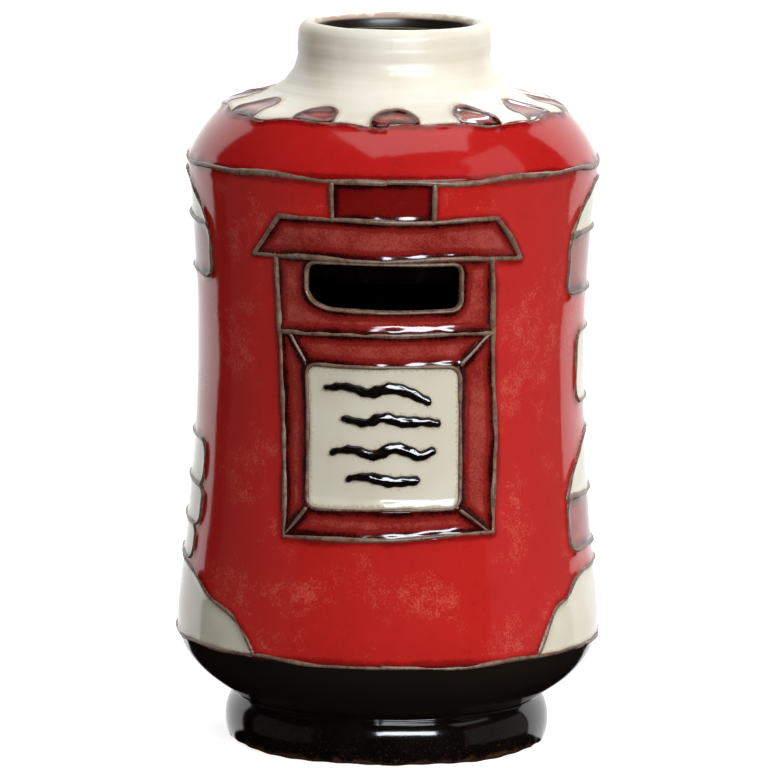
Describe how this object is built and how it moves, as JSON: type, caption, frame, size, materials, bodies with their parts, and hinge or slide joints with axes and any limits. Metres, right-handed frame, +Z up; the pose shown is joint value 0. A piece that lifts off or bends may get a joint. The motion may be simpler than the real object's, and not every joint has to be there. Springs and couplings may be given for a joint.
{
  "type": "ceramic money box",
  "caption": "Glazed ceramic money box shaped as a waisted bottle with an open neck, a turned foot, a falling coin slot in a slip-trailed letter-box front and a base stopper.",
  "frame": {"origin": "middle of the foot ring, on the table", "axes": "+Z up along the pot's axis; the coin slot and the letter-box front face -Y; +X is to the right when facing the front"},
  "size_m": [0.0848, 0.0848, 0.1436],
  "materials": {
    "fired_clay": "unglazed, fine and matt",
    "cream_glaze": "gloss",
    "red_glaze": "gloss, mottled",
    "dark_red_glaze": "gloss, pooled darker at its edges",
    "black_glaze": "gloss",
    "slip_line": "raised clay line under clear glaze",
    "stopper_rubber": "matt moulded rubber"
  },
  "bodies": {
    "pot": {"clay_body": "fired_clay", "inner_glaze": "black_glaze", "neck_glaze": "cream_glaze", "snow_edge_line": "slip_line", "cell_lines": "slip_line", "shoulder_cells": "dark_red_glaze", "shoulder_glaze": "red_glaze", "shoulder_line": "slip_line", "barrel_glaze": "red_glaze", "lintel_lines": "slip_line", "lintel_glaze": "dark_red_glaze", "hood_line": "slip_line", "hood_glaze": "dark_red_glaze", "slot_box_lines": "slip_line", "slot_line": "slip_line", "slot_surround_glaze": "dark_red_glaze", "crossbar_line": "slip_line", "frame_line": "slip_line", "mitre_lines": "slip_line", "frame_head_glaze": "dark_red_glaze", "frame_left_glaze": "dark_red_glaze", "frame_right_glaze": "dark_red_glaze", "frame_sill_glaze": "dark_red_glaze", "notice_line": "slip_line", "notice_glaze": "cream_glaze", "notice_marks": "black_glaze", "brick_lines": "slip_line", "brick_glaze": "dark_red_glaze", "brick_snow_glaze": "cream_glaze", "drift_lines": "slip_line", "drift_glaze": "cream_glaze", "base_line": "slip_line", "base_glaze": "black_glaze"},
    "stopper": {"base_stopper": "stopper_rubber"}
  },
  "joints": [
    {"name": "stopper_pull", "type": "slide", "parent": "pot", "child": "stopper", "axis": [0, 0, -1], "range_m": [0, 0.018]}
  ]
}
